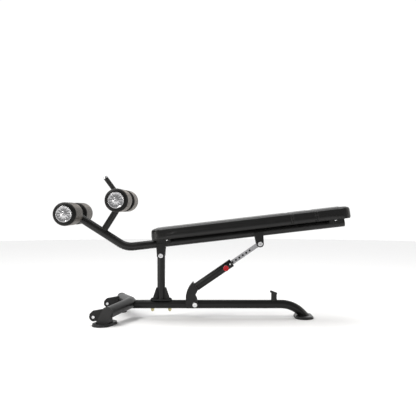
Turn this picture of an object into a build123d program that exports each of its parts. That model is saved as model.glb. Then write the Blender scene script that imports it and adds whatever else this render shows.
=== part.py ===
from build123d import *
import os
from math import atan2, cos, degrees, radians, sin, tan

# Adjustable decline bench. A padded beam rocks on a post, a leg holder with four rollers
# stands at its low end, and a pinned telescopic strut sets the slope.
# Millimetres. X runs from the leg holder to the head end, Y across, Z up. The origin is on
# the floor, under the middle of the bench. "Left" is the -Y side, with the red knob.

os.makedirs("parts", exist_ok=True)

# ---- driving dimensions ---------------------------------------------------------------
WALL = 2.5               # wall of the welded round tubes
PLATE = 6                # thickness of the light plates
SIDE_PLATE = 8           # thickness of the pivot plates

# floor frame
RAIL_RADIUS = 25
RAIL_Z = 78
RAIL_BEND_X = 441.5      # the rail starts to turn down to the rear foot here
RAIL_BEND_RADIUS = 166
RAIL_BEND_ANGLE = 47
CROSSBAR_RADIUS = 32
CROSSBAR_X = -424.8      # corner of the V, before it is rounded
CROSSBAR_Z = 88
CROSSBAR_BEND_RADIUS = 120
LEG_REACH = 270          # half the span of the crossbar
LEG_BACK = 94.7          # how far its ends are swept back
LEG_FALL = 16            # and how far they drop
FOOT_LENGTH = 172
FOOT_WIDTH = 104
FOOT_RUBBER = 9
FRONT_FOOT_X = -542.5
FRONT_FOOT_Y = 223
REAR_FOOT_X = 571.5
WHEEL_X = -600
WHEEL_Y = 230
WHEEL_Z = 46.5
WHEEL_RADIUS = 25
WHEEL_WIDTH = 20
WHEEL_GAP = 24           # between the two plates of a wheel bracket
WHEEL_PLATE = 4

# post and main pivot
POST_X = -253
POST_RADIUS = 22.75
PIVOT_Z = 361
FLANGE_LENGTH = 126
FLANGE_WIDTH = 60
FLANGE_BOTTOM = 103.4
FLANGE_TOP = 109.4
SADDLE_WIDTH = 30
SADDLE_BOTTOM = 98
POST_BOLT_PITCH = 100
HOUSING_RADIUS = 21
HOUSING_HALF = 22.5

# beam
BEAM_RADIUS = 24
BEAM_ANGLE = 6.55        # slope of the straight part, as drawn (highest setting)
BEAM_OVER_PIVOT = 69.4   # height of its centreline above the main pivot
BEAM_KNEE_X = -455.5     # where it turns up to the leg holder
BEAM_BEND_RADIUS = 120
BEAM_END_X = 803
BEAM_CAP = 5
SIDE_GAP = 24            # half gap between pivot plates and between clevis plates
TILT_TRAVEL = 28.15      # degrees from the highest to the lowest setting

# strut
CLEVIS_X = 318.7
CLEVIS_Z = 429.2
STRUT_ANGLE = 34.4
STRUT_TRAVEL = 168.9
SLEEVE_RADIUS = 23.75
SLEEVE_MOUTH = 197       # distances along the strut, from the clevis bolt
SLEEVE_END = 447
GUIDE_LENGTH = 31
GUIDE_SCREW_AT = 210
BAR_WIDTH = 25
BAR_THICKNESS = 12
BAR_WALL = 2             # the bar is a flat tube, with its holes in the left wall
BAR_END = 268
PIN_AT = 240
HOLE_COUNT = 8
HOLE_RADIUS = 6
STRUT_FOOT_X = -57.2
BRACKET_GAP = 26         # half gap of the strut's foot bracket, which straddles the rail
PIN_TRAVEL = 9.6

# stop for the lowest setting
STOP_X = 401.2
STOP_RADIUS = 16.5
STOP_LENGTH = 42
STOP_WIDTH = 36
STOP_RUBBER = 11
STOP_CLEARANCE = 0.4

# pad
PAD_ANGLE = 6.7
PAD_X = -298.7
PAD_LIFT = 0.3           # gap between the beam and the pad board at the low end
PAD_LENGTH = 1130.4
PAD_WIDTH = 300
PAD_CORNER = 45
BOARD_THICKNESS = 12
BOARD_INSET = 6          # the cushion wraps the edges of the board
CUSHION_TOP = 65
CUSHION_EDGE = 13

# leg holder
LOWER_AXLE = (-759.1, 601.8)
UPPER_AXLE = (-478.1, 677)
ROLLER_POST_FOOT = (-593.5, 493)
ROLLER_POST_RADIUS = 19
AXLE_RADIUS = 16
AXLE_HALF = 246
ROLLER_RADIUS = 65
ROLLER_EDGE = 20
ROLLER_INNER = 46
ROLLER_OUTER = 250
ROLLER_BORE = 25
CAP_RADIUS = 44
CAP_THICKNESS = 4
HANDLE_ANGLE = 126.3
HANDLE_RADIUS = 11
HANDLE_LENGTH = 160
GRIP_START = 58
GRIP_RADIUS = 13.5
GRIP_RIBS = 17
HANDLE_CAP_RADIUS = 15.5
HANDLE_CAP_LENGTH = 13

FIT = 0.05               # radial clearance of a running fit
CLEAR = 0.3              # gap between pieces that pass each other

# ---- derived places -------------------------------------------------------------------
FOOT_TOP = FOOT_RUBBER + PLATE
LEG_ANGLE = degrees(atan2(LEG_BACK, LEG_REACH))
LEG_END_X = CROSSBAR_X - LEG_BACK
LEG_END_Z = CROSSBAR_Z - LEG_FALL
feet = [
    (FRONT_FOOT_X, -FRONT_FOOT_Y, 90 - LEG_ANGLE),
    (FRONT_FOOT_X, FRONT_FOOT_Y, 90 + LEG_ANGLE),
    (REAR_FOOT_X, 0, 90),
]


def beam_z(x):
    """Height of the straight beam's centreline."""
    return PIVOT_Z + BEAM_OVER_PIVOT + tan(radians(BEAM_ANGLE)) * (x - POST_X)


def across(x, z, y=0.0):
    """Plane with its normal to the left (-Y), local x along X and local y along Z."""
    return Plane(origin=(x, y, z), x_dir=(1, 0, 0), z_dir=(0, -1, 0))


def sloped(x, z, angle):
    """Like across(), turned so that local x climbs at an angle towards +X."""
    climb = radians(angle)
    return Plane(origin=(x, 0, z), x_dir=(cos(climb), 0, sin(climb)), z_dir=(0, -1, 0))


def leg_end(side):
    """Vertical plane that ends one leg of the crossbar, its normal pointing outwards."""
    turn = radians(LEG_ANGLE)
    return Plane(
        origin=(LEG_END_X, side * LEG_REACH, LEG_END_Z),
        x_dir=(cos(turn), side * sin(turn), 0),
        z_dir=(-sin(turn), side * cos(turn), 0),
    )


def along_strut(distance):
    """Point on the strut's axis at a distance from the clevis bolt, as X and Z."""
    fall = radians(STRUT_ANGLE)
    return CLEVIS_X - distance * cos(fall), CLEVIS_Z - distance * sin(fall)


def swept(path, radius, bore=0.0):
    """Round rod along a path, or a tube when a bore is given."""
    with BuildPart() as rod:
        with BuildSketch(path ^ 0):
            Circle(radius)
            if bore:
                Circle(bore, mode=Mode.SUBTRACT)
        sweep(path=path)
    return rod.part


def straight(start, end):
    """Line in the middle plane between two X, Z points."""
    with BuildLine(Plane.XZ) as line:
        Line(start, end)
    return line.wire()


def through_bolt(middle, grip, shank, head, height):
    """Bolt along Y with a low socket head at both ends, its middle on a plane."""
    socket_radius = head * 0.42
    socket_depth = height * 0.6
    with BuildPart() as bolt:
        with BuildSketch(middle):
            Circle(shank)
        extrude(amount=grip / 2)
        with BuildSketch(middle.offset(grip / 2)):
            Circle(head)
        extrude(amount=height)
        rim = bolt.edges().filter_by(GeomType.CIRCLE).sort_by(Axis.Y)[0]
        fillet(rim, height * 0.3)
        with BuildSketch(middle.offset(grip / 2 + height)):
            RegularPolygon(socket_radius, 6)
        extrude(amount=-socket_depth, mode=Mode.SUBTRACT)
        mirror(about=middle)
    return bolt.part


# ---- floor frame ----------------------------------------------------------------------
leg_back = Vector(-LEG_BACK, 0, -LEG_FALL)
crossbar_plane = Plane(
    origin=(CROSSBAR_X, 0, CROSSBAR_Z),
    x_dir=leg_back,
    z_dir=leg_back.cross(Vector(0, 1, 0)),
)
OVERRUN = 1.06           # the legs are drawn a little long, then trimmed to vertical ends
with BuildLine(crossbar_plane) as crossbar_line:
    leg_run = leg_back.length * OVERRUN
    FilletPolyline(
        (leg_run, -LEG_REACH * OVERRUN),
        (0, 0),
        (leg_run, LEG_REACH * OVERRUN),
        radius=CROSSBAR_BEND_RADIUS,
    )
crossbar_rod = swept(crossbar_line.wire(), CROSSBAR_RADIUS)

with BuildPart() as front_crossbar:
    add(swept(crossbar_line.wire(), CROSSBAR_RADIUS, CROSSBAR_RADIUS - WALL))
    split(bisect_by=leg_end(-1), keep=Keep.BOTTOM)
    split(bisect_by=leg_end(1), keep=Keep.BOTTOM)
front_crossbar.part.label = "front_crossbar"
export_step(front_crossbar.part, "parts/front_crossbar.step")

with BuildLine(Plane.XZ) as rail_line:
    rail_run = Line((CROSSBAR_X, RAIL_Z), (RAIL_BEND_X, RAIL_Z))
    rail_bend = JernArc(rail_run @ 1, (1, 0), RAIL_BEND_RADIUS, -RAIL_BEND_ANGLE)
    turn_down = radians(-RAIL_BEND_ANGLE)
    PolarLine(rail_bend @ 1, RAIL_RADIUS * 2, direction=(cos(turn_down), sin(turn_down)))
rail_rod = swept(rail_line.wire(), RAIL_RADIUS)
post_bolt_xs = (POST_X - POST_BOLT_PITCH / 2, POST_X + POST_BOLT_PITCH / 2)
POST_BOLT_RADIUS = 5

with BuildPart() as main_rail:
    add(swept(rail_line.wire(), RAIL_RADIUS, RAIL_RADIUS - WALL))
    add(crossbar_rod, mode=Mode.SUBTRACT)
    split(bisect_by=Plane.XY.offset(FOOT_TOP), keep=Keep.TOP)
    with BuildSketch():
        for bolt_x in post_bolt_xs:
            with Locations((bolt_x, 0)):
                Circle(POST_BOLT_RADIUS)
    extrude(amount=FLANGE_BOTTOM, mode=Mode.SUBTRACT)
main_rail.part.label = "main_rail"
export_step(main_rail.part, "parts/main_rail.step")

# An end plate covers each end of the crossbar and leans forward to the foot below it.
END_ROUND = CROSSBAR_RADIUS + 2
END_DROP = LEG_END_Z - FOOT_TOP
with BuildPart() as end_plates:
    with BuildSketch(leg_end(-1)):
        with BuildLine():
            back_corner = Vector(END_ROUND, 0).rotate(Axis.Z, 12)
            front_corner = Vector(END_ROUND, 0).rotate(Axis.Z, 130)
            ThreePointArc(back_corner, (0, END_ROUND), front_corner)
            Polyline(front_corner, (-70, -END_DROP), (6, -END_DROP), back_corner)
        make_face()
    extrude(amount=PLATE)
    mirror(about=Plane.XZ)
end_plates.part.label = "end_plates"
export_step(end_plates.part, "parts/end_plates.step")

# Small ribs between the crossbar and the front feet.
RIB_LENGTH = 58
RIB_HEIGHT = 45
with BuildPart() as foot_ribs:
    rib_plane = Plane(
        origin=(LEG_END_X, -LEG_REACH, FOOT_TOP),
        x_dir=(LEG_BACK, LEG_REACH, 0),
        z_dir=(LEG_REACH, -LEG_BACK, 0),
    )
    with BuildSketch(rib_plane):
        Polygon((0, 0), (RIB_LENGTH, 0), (RIB_LENGTH * 0.7, RIB_HEIGHT), (0, RIB_HEIGHT), align=None)
    extrude(amount=PLATE / 2, both=True)
    add(crossbar_rod, mode=Mode.SUBTRACT)
    mirror(about=Plane.XZ)
foot_ribs.part.label = "foot_ribs"
export_step(foot_ribs.part, "parts/foot_ribs.step")

PLATE_INSET = 4
with BuildPart() as foot_plates:
    with BuildSketch(Plane.XY.offset(FOOT_RUBBER)):
        for foot_x, foot_y, foot_turn in feet:
            with Locations((foot_x, foot_y)):
                SlotOverall(FOOT_LENGTH - PLATE_INSET, FOOT_WIDTH - PLATE_INSET, rotation=foot_turn)
    extrude(amount=PLATE)
    chamfer(foot_plates.faces().group_by(Axis.Z)[-1].edges(), 1.5)
foot_plates.part.label = "foot_plates"
export_step(foot_plates.part, "parts/foot_plates.step")

with BuildPart() as foot_rubbers:
    with BuildSketch():
        for foot_x, foot_y, foot_turn in feet:
            with Locations((foot_x, foot_y)):
                SlotOverall(FOOT_LENGTH, FOOT_WIDTH, rotation=foot_turn)
    extrude(amount=FOOT_RUBBER)
    fillet(foot_rubbers.faces().group_by(Axis.Z)[-1].edges(), 2.5)
    chamfer(foot_rubbers.faces().group_by(Axis.Z)[0].edges(), 1)
foot_rubbers.part.label = "foot_rubbers"
export_step(foot_rubbers.part, "parts/foot_rubbers.step")

# ---- transport wheels -----------------------------------------------------------------
BRACKET_ROUND = 21.5
BRACKET_END_X = -520
bracket_y = WHEEL_Y - WHEEL_GAP / 2
with BuildPart() as wheel_brackets:
    for plate_y in (bracket_y - WHEEL_PLATE, bracket_y + WHEEL_GAP):
        with BuildSketch(across(WHEEL_X, WHEEL_Z, -plate_y)):
            Circle(BRACKET_ROUND)
            bracket_reach = BRACKET_END_X - WHEEL_X
            Polygon(
                (-BRACKET_ROUND, 0),
                (0, -BRACKET_ROUND),
                (bracket_reach, -BRACKET_ROUND),
                (bracket_reach, 47),
                (-8, 30),
                (-BRACKET_ROUND, 16),
                align=None,
            )
        extrude(amount=WHEEL_PLATE)
    with BuildSketch(across(WHEEL_X, WHEEL_Z)):
        Circle(POST_BOLT_RADIUS)
    extrude(amount=LEG_REACH, mode=Mode.SUBTRACT)
    add(crossbar_rod, mode=Mode.SUBTRACT)
    mirror(about=Plane.XZ)
wheel_brackets.part.label = "wheel_brackets"
export_step(wheel_brackets.part, "parts/wheel_brackets.step")

with BuildPart() as wheel_bolts:
    wheel_grip = WHEEL_GAP + 2 * WHEEL_PLATE
    add(through_bolt(across(WHEEL_X, WHEEL_Z, -WHEEL_Y), wheel_grip, POST_BOLT_RADIUS, 8.5, 6))
    mirror(about=Plane.XZ)
wheel_bolts.part.label = "wheel_bolts"
export_step(wheel_bolts.part, "parts/wheel_bolts.step")

for side_name, side in (("left", -1), ("right", 1)):
    with BuildPart() as wheel:
        wheel_middle = across(WHEEL_X, WHEEL_Z, side * WHEEL_Y)
        with BuildSketch(wheel_middle):
            Circle(WHEEL_RADIUS)
        extrude(amount=WHEEL_WIDTH / 2, both=True)
        fillet(wheel.edges().filter_by(GeomType.CIRCLE), 4)
        with BuildSketch(wheel_middle):
            Circle(9)
        extrude(amount=WHEEL_GAP / 2 - CLEAR, both=True)
        with BuildSketch(wheel_middle):
            Circle(POST_BOLT_RADIUS + FIT)
        extrude(amount=WHEEL_GAP, both=True, mode=Mode.SUBTRACT)
    wheel.part.label = f"transport_wheel_{side_name}"
    export_step(wheel.part, f"parts/transport_wheel_{side_name}.step")

# ---- post and main pivot --------------------------------------------------------------
with BuildPart() as saddle_plate:
    with BuildSketch(Plane.XY.offset(SADDLE_BOTTOM)):
        with Locations((POST_X, 0)):
            SlotOverall(FLANGE_LENGTH, SADDLE_WIDTH)
            with GridLocations(POST_BOLT_PITCH, 0, 2, 1):
                Circle(POST_BOLT_RADIUS, mode=Mode.SUBTRACT)
    extrude(amount=FLANGE_BOTTOM - SADDLE_BOTTOM)
    add(rail_rod, mode=Mode.SUBTRACT)
saddle_plate.part.label = "saddle_plate"
export_step(saddle_plate.part, "parts/saddle_plate.step")

with BuildPart() as post_flange:
    with BuildSketch(Plane.XY.offset(FLANGE_BOTTOM)):
        with Locations((POST_X, 0)):
            SlotOverall(FLANGE_LENGTH, FLANGE_WIDTH)
            with GridLocations(POST_BOLT_PITCH, 0, 2, 1):
                Circle(POST_BOLT_RADIUS, mode=Mode.SUBTRACT)
    extrude(amount=FLANGE_TOP - FLANGE_BOTTOM)
    chamfer(post_flange.faces().sort_by(Axis.Z)[-1].outer_wire().edges(), 1.5)
post_flange.part.label = "post_flange"
export_step(post_flange.part, "parts/post_flange.step")

housing_plane = across(POST_X, PIVOT_Z)
with BuildPart() as post_tube:
    with BuildSketch(Plane.XY.offset(FLANGE_TOP)):
        with Locations((POST_X, 0)):
            Circle(POST_RADIUS)
            Circle(POST_RADIUS - WALL, mode=Mode.SUBTRACT)
    extrude(amount=PIVOT_Z - FLANGE_TOP)
    with BuildSketch(housing_plane):
        Circle(HOUSING_RADIUS)
    extrude(amount=POST_RADIUS * 2, both=True, mode=Mode.SUBTRACT)
post_tube.part.label = "post_tube"
export_step(post_tube.part, "parts/post_tube.step")

# Four ribs brace the post, clear of the two flange bolts.
FIN_TURN = 28
FIN_TOP = 174
FIN_REACH = 52
FIN_STEP = 8
with BuildPart() as post_ribs:
    for fin_angle in (FIN_TURN, 180 - FIN_TURN, 180 + FIN_TURN, -FIN_TURN):
        fin_turn = radians(fin_angle)
        fin_plane = Plane(
            origin=(POST_X, 0, 0),
            x_dir=(cos(fin_turn), sin(fin_turn), 0),
            z_dir=(sin(fin_turn), -cos(fin_turn), 0),
        )
        with BuildSketch(fin_plane):
            Polygon(
                (POST_RADIUS * 0.8, FLANGE_TOP),
                (FIN_REACH, FLANGE_TOP),
                (FIN_REACH, FLANGE_TOP + 6),
                (POST_RADIUS + FIN_STEP, FIN_TOP),
                (POST_RADIUS * 0.8, FIN_TOP),
                align=None,
            )
        extrude(amount=PLATE / 2, both=True)
    with BuildSketch(Plane.XY.offset(FLANGE_TOP)):
        with Locations((POST_X, 0)):
            Circle(POST_RADIUS)
    extrude(amount=FIN_TOP, mode=Mode.SUBTRACT)
post_ribs.part.label = "post_ribs"
export_step(post_ribs.part, "parts/post_ribs.step")

RAIL_BOTTOM = RAIL_Z - RAIL_RADIUS
WASHER_THICKNESS = 2
NUT_HEX = 8.5
NUT_HEX_HEIGHT = 8
NUT_DOME = 7
NUT_BORE = 7
with BuildPart() as post_bolts:
    with BuildSketch(Plane.XY.offset(RAIL_BOTTOM - NUT_BORE)):
        with Locations((POST_X, 0)):
            with GridLocations(POST_BOLT_PITCH, 0, 2, 1):
                Circle(POST_BOLT_RADIUS)
    extrude(amount=FLANGE_TOP - RAIL_BOTTOM + NUT_BORE)
    with BuildSketch(Plane.XY.offset(FLANGE_TOP)):
        with Locations((POST_X, 0)):
            with GridLocations(POST_BOLT_PITCH, 0, 2, 1):
                Circle(9)
    extrude(amount=6)
    fillet(post_bolts.faces().group_by(Axis.Z)[-1].edges(), 4)
post_bolts.part.label = "post_bolts"
export_step(post_bolts.part, "parts/post_bolts.step")

with BuildPart() as post_nuts:
    nut_top = RAIL_BOTTOM - WASHER_THICKNESS
    for bolt_x in post_bolt_xs:
        with BuildSketch(Plane.XY.offset(nut_top)):
            with Locations((bolt_x, 0)):
                Circle(10)
        extrude(amount=WASHER_THICKNESS)
        with BuildSketch(Plane.XY.offset(nut_top)):
            with Locations((bolt_x, 0)):
                RegularPolygon(NUT_HEX, 6, major_radius=False)
        extrude(amount=-NUT_HEX_HEIGHT)
        with BuildSketch(Plane.XY.offset(nut_top - NUT_HEX_HEIGHT)):
            with Locations((bolt_x, 0)):
                Circle(NUT_HEX * 0.94)
        extrude(amount=-NUT_DOME)
    fillet(post_nuts.faces().group_by(Axis.Z)[0].edges(), NUT_DOME * 0.85)
    with BuildSketch(Plane.XY.offset(RAIL_BOTTOM - NUT_BORE)):
        for bolt_x in post_bolt_xs:
            with Locations((bolt_x, 0)):
                Circle(POST_BOLT_RADIUS)
    extrude(amount=NUT_BORE, mode=Mode.SUBTRACT)
post_nuts.part.label = "post_nuts"
export_step(post_nuts.part, "parts/post_nuts.step")

BUSHING_RADIUS = 14
PIVOT_BOLT_RADIUS = 8
BUSHING_FLANGE = 1.2
with BuildPart() as pivot_housing:
    with BuildSketch(housing_plane):
        Circle(HOUSING_RADIUS)
        Circle(BUSHING_RADIUS, mode=Mode.SUBTRACT)
    extrude(amount=HOUSING_HALF, both=True)
pivot_housing.part.label = "pivot_housing"
export_step(pivot_housing.part, "parts/pivot_housing.step")

BUSHING_LENGTH = 18
with BuildPart() as pivot_bushings:
    with BuildSketch(housing_plane.offset(HOUSING_HALF - BUSHING_LENGTH)):
        Circle(BUSHING_RADIUS)
    extrude(amount=BUSHING_LENGTH)
    with BuildSketch(housing_plane.offset(HOUSING_HALF)):
        Circle(HOUSING_RADIUS - 1)
    extrude(amount=BUSHING_FLANGE)
    with BuildSketch(housing_plane):
        Circle(PIVOT_BOLT_RADIUS + FIT)
    extrude(amount=HOUSING_HALF * 2, mode=Mode.SUBTRACT)
    mirror(about=Plane.XZ)
pivot_bushings.part.label = "pivot_bushings"
export_step(pivot_bushings.part, "parts/pivot_bushings.step")

# ---- stop for the lowest setting ------------------------------------------------------
# At the lowest setting the underside of the beam lies just above the bumper's face.
low_angle = BEAM_ANGLE - TILT_TRAVEL
underside = BEAM_OVER_PIVOT * cos(radians(BEAM_ANGLE)) - BEAM_RADIUS - STOP_CLEARANCE
stop_z = (
    PIVOT_Z
    + underside / cos(radians(low_angle))
    + tan(radians(low_angle)) * (STOP_X - POST_X)
)
bumper_face = sloped(STOP_X, stop_z, low_angle)
bumper_up = Plane(origin=bumper_face.origin, x_dir=bumper_face.x_dir, z_dir=bumper_face.y_dir)

with BuildPart() as stop_post:
    with BuildSketch(Plane.XY.offset(RAIL_Z)):
        with Locations((STOP_X, 0)):
            Circle(STOP_RADIUS)
            Circle(STOP_RADIUS - WALL, mode=Mode.SUBTRACT)
    extrude(amount=stop_z)
    split(bisect_by=bumper_up.offset(-STOP_RUBBER), keep=Keep.BOTTOM)
    add(rail_rod, mode=Mode.SUBTRACT)
stop_post.part.label = "stop_post"
export_step(stop_post.part, "parts/stop_post.step")

with BuildPart() as stop_bumper:
    with BuildSketch(bumper_up.offset(-STOP_RUBBER)):
        RectangleRounded(STOP_LENGTH, STOP_WIDTH, 12)
    extrude(amount=STOP_RUBBER)
    bumper_top = stop_bumper.faces().sort_by(Axis(bumper_up.origin, bumper_up.z_dir))[-1]
    fillet(bumper_top.edges(), 2)
stop_bumper.part.label = "stop_bumper"
export_step(stop_bumper.part, "parts/stop_bumper.step")

# ---- beam -----------------------------------------------------------------------------
knee = (BEAM_KNEE_X, beam_z(BEAM_KNEE_X))
rise = Vector(LOWER_AXLE[0] - knee[0], LOWER_AXLE[1] - knee[1])
tip = Vector(*LOWER_AXLE) + rise.normalized() * BEAM_RADIUS
beam_tip = (tip.X, tip.Y)
beam_end = (BEAM_END_X, beam_z(BEAM_END_X))
with BuildLine(Plane.XZ) as beam_line:
    FilletPolyline(beam_tip, knee, beam_end, radius=BEAM_BEND_RADIUS)
beam_rod = swept(beam_line.wire(), BEAM_RADIUS)
lower_axle_plane = across(*LOWER_AXLE)
upper_axle_plane = across(*UPPER_AXLE)

with BuildPart() as beam_tube:
    add(swept(beam_line.wire(), BEAM_RADIUS, BEAM_RADIUS - WALL))
    with BuildSketch(lower_axle_plane):
        Circle(AXLE_RADIUS)
    extrude(amount=AXLE_HALF, both=True, mode=Mode.SUBTRACT)
beam_tube.part.label = "beam_tube"
export_step(beam_tube.part, "parts/beam_tube.step")

# A push-in cap closes each end of the beam.
CAP_PLUG = 14
tip_plane = Plane(origin=(tip.X, 0, tip.Y), z_dir=(rise.X, 0, rise.Y))
end_dir = sloped(0, 0, BEAM_ANGLE).x_dir
end_plane = Plane(origin=(beam_end[0], 0, beam_end[1]), z_dir=end_dir)
with BuildPart() as beam_caps:
    for cap_plane, plug in ((tip_plane, 0), (end_plane, CAP_PLUG)):
        with BuildSketch(cap_plane):
            Circle(BEAM_RADIUS)
        extrude(amount=BEAM_CAP)
        fillet(beam_caps.faces().sort_by(Axis(cap_plane.origin, cap_plane.z_dir))[-1].edges(), 2)
        if plug:
            with BuildSketch(cap_plane):
                Circle(BEAM_RADIUS - WALL)
            extrude(amount=-plug)
beam_caps.part.label = "beam_caps"
export_step(beam_caps.part, "parts/beam_caps.step")

PIVOT_ROUND = 22.5
PIVOT_PLATE_HALF = 28
with BuildPart() as pivot_plates:
    with BuildSketch(housing_plane.offset(SIDE_GAP)):
        Circle(PIVOT_ROUND)
        Polygon(
            (-PIVOT_ROUND, 0),
            (PIVOT_ROUND, 0),
            (PIVOT_PLATE_HALF, beam_z(POST_X + PIVOT_PLATE_HALF) - PIVOT_Z),
            (-PIVOT_PLATE_HALF, beam_z(POST_X - PIVOT_PLATE_HALF) - PIVOT_Z),
            align=None,
        )
        Circle(PIVOT_BOLT_RADIUS, mode=Mode.SUBTRACT)
    extrude(amount=SIDE_PLATE)
    mirror(about=Plane.XZ)
pivot_plates.part.label = "pivot_plates"
export_step(pivot_plates.part, "parts/pivot_plates.step")

PIVOT_HEAD = 14
HEAD_HEIGHT = 8
pivot_grip = 2 * (SIDE_GAP + SIDE_PLATE)
with BuildPart() as pivot_bolt:
    add(through_bolt(housing_plane, pivot_grip, PIVOT_BOLT_RADIUS, PIVOT_HEAD, HEAD_HEIGHT))
pivot_bolt.part.label = "pivot_bolt"
export_step(pivot_bolt.part, "parts/pivot_bolt.step")

CLEVIS_ROUND = 21
CLEVIS_BACK = -34
CLEVIS_FRONT = 18
clevis_plane = across(CLEVIS_X, CLEVIS_Z)
with BuildPart() as clevis_plates:
    with BuildSketch(clevis_plane.offset(SIDE_GAP)):
        Circle(CLEVIS_ROUND)
        Polygon(
            (-CLEVIS_ROUND, 0),
            (CLEVIS_ROUND, 0),
            (CLEVIS_FRONT, beam_z(CLEVIS_X + CLEVIS_FRONT) - CLEVIS_Z),
            (CLEVIS_BACK, beam_z(CLEVIS_X + CLEVIS_BACK) - CLEVIS_Z),
            align=None,
        )
        Circle(PIVOT_BOLT_RADIUS, mode=Mode.SUBTRACT)
    extrude(amount=SIDE_PLATE)
    mirror(about=Plane.XZ)
clevis_plates.part.label = "clevis_plates"
export_step(clevis_plates.part, "parts/clevis_plates.step")

with BuildPart() as clevis_bolt:
    add(through_bolt(clevis_plane, pivot_grip, PIVOT_BOLT_RADIUS, PIVOT_HEAD, HEAD_HEIGHT))
clevis_bolt.part.label = "clevis_bolt"
export_step(clevis_bolt.part, "parts/clevis_bolt.step")

# ---- pad ------------------------------------------------------------------------------
pad_base_z = beam_z(PAD_X) + BEAM_RADIUS / cos(radians(BEAM_ANGLE)) + PAD_LIFT
pad_side = sloped(PAD_X, pad_base_z, PAD_ANGLE)
pad_base = Plane(origin=pad_side.origin, x_dir=pad_side.x_dir, z_dir=pad_side.y_dir)
PAD_BOLT_Y = 60
PAD_BOLT_RADIUS = 3
PAD_BOLT_DEPTH = 9
BRACKET_LENGTH = 80
BRACKET_LEG = 30
BRACKET_WING = 76
BRACKET_STOCK = 5
bracket_starts = (20, 1021)
bolt_offsets = (64, 31)
bolt_places = [start + offset for start, offset in zip(bracket_starts, bolt_offsets)]

with BuildPart() as board_blank:
    with BuildSketch(pad_base):
        with Locations((PAD_LENGTH / 2, 0)):
            board_length = PAD_LENGTH - 2 * BOARD_INSET
            board_width = PAD_WIDTH - 2 * BOARD_INSET
            RectangleRounded(board_length, board_width, PAD_CORNER - BOARD_INSET)
    extrude(amount=BOARD_THICKNESS)

with BuildPart() as pad_board:
    add(board_blank.part)
    with BuildSketch(pad_base):
        for bolt_place in bolt_places:
            with Locations((bolt_place, PAD_BOLT_Y), (bolt_place, -PAD_BOLT_Y)):
                Circle(PAD_BOLT_RADIUS)
    extrude(amount=PAD_BOLT_DEPTH, mode=Mode.SUBTRACT)
pad_board.part.label = "pad_board"
export_step(pad_board.part, "parts/pad_board.step")

with BuildPart() as pad_cushion:
    with BuildSketch(pad_base):
        with Locations((PAD_LENGTH / 2, 0)):
            RectangleRounded(PAD_LENGTH, PAD_WIDTH, PAD_CORNER)
    extrude(amount=CUSHION_TOP)
    add(board_blank.part, mode=Mode.SUBTRACT)
    cushion_top = pad_cushion.faces().sort_by(Axis(pad_base.origin, pad_base.z_dir))[-1]
    fillet(cushion_top.edges(), CUSHION_EDGE)
pad_cushion.part.label = "pad_cushion"
export_step(pad_cushion.part, "parts/pad_cushion.step")

# Angle brackets stand on both sides of the beam and carry the board.
with BuildPart() as pad_brackets:
    for start in bracket_starts:
        end_of_bracket = Plane(
            origin=pad_side.origin + pad_side.x_dir * start,
            x_dir=(0, -1, 0),
            z_dir=-pad_side.x_dir,
        )
        with BuildSketch(end_of_bracket):
            Polygon(
                (BEAM_RADIUS, 0),
                (BRACKET_WING, 0),
                (BRACKET_WING, -BRACKET_STOCK),
                (BEAM_RADIUS + BRACKET_STOCK, -BRACKET_STOCK),
                (BEAM_RADIUS + BRACKET_STOCK, -BRACKET_LEG),
                (BEAM_RADIUS, -BRACKET_LEG),
                align=None,
            )
        extrude(amount=-BRACKET_LENGTH)
    with BuildSketch(pad_base):
        for bolt_place in bolt_places:
            with Locations((bolt_place, -PAD_BOLT_Y)):
                Circle(PAD_BOLT_RADIUS)
    extrude(amount=-BRACKET_STOCK, mode=Mode.SUBTRACT)
    mirror(about=Plane.XZ)
    add(pivot_plates.part, mode=Mode.SUBTRACT)
pad_brackets.part.label = "pad_brackets"
export_step(pad_brackets.part, "parts/pad_brackets.step")

with BuildPart() as pad_bolts:
    for bolt_place in bolt_places:
        for bolt_y in (-PAD_BOLT_Y, PAD_BOLT_Y):
            with BuildSketch(pad_base.offset(-BRACKET_STOCK)):
                with Locations((bolt_place, bolt_y)):
                    Circle(PAD_BOLT_RADIUS)
            extrude(amount=BRACKET_STOCK + PAD_BOLT_DEPTH - 1)
            with BuildSketch(pad_base.offset(-BRACKET_STOCK)):
                with Locations((bolt_place, bolt_y)):
                    Circle(7)
            extrude(amount=-5)
pad_bolts.part.label = "pad_bolts"
export_step(pad_bolts.part, "parts/pad_bolts.step")

# ---- leg holder -----------------------------------------------------------------------
roller_post_path = straight(ROLLER_POST_FOOT, UPPER_AXLE)
roller_post_rod = swept(roller_post_path, ROLLER_POST_RADIUS)
with BuildPart() as roller_post:
    add(swept(roller_post_path, ROLLER_POST_RADIUS, ROLLER_POST_RADIUS - WALL))
    add(beam_rod, mode=Mode.SUBTRACT)
    with BuildSketch(upper_axle_plane):
        Circle(AXLE_RADIUS)
    extrude(amount=AXLE_HALF, both=True, mode=Mode.SUBTRACT)
roller_post.part.label = "roller_post"
export_step(roller_post.part, "parts/roller_post.step")

AXLE_WALL = 3
for axle_name, axle_plane in (("lower", lower_axle_plane), ("upper", upper_axle_plane)):
    with BuildPart() as axle:
        with BuildSketch(axle_plane):
            Circle(AXLE_RADIUS)
            Circle(AXLE_RADIUS - AXLE_WALL, mode=Mode.SUBTRACT)
        extrude(amount=AXLE_HALF, both=True)
    axle.part.label = f"{axle_name}_axle"
    export_step(axle.part, f"parts/{axle_name}_axle.step")

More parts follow.
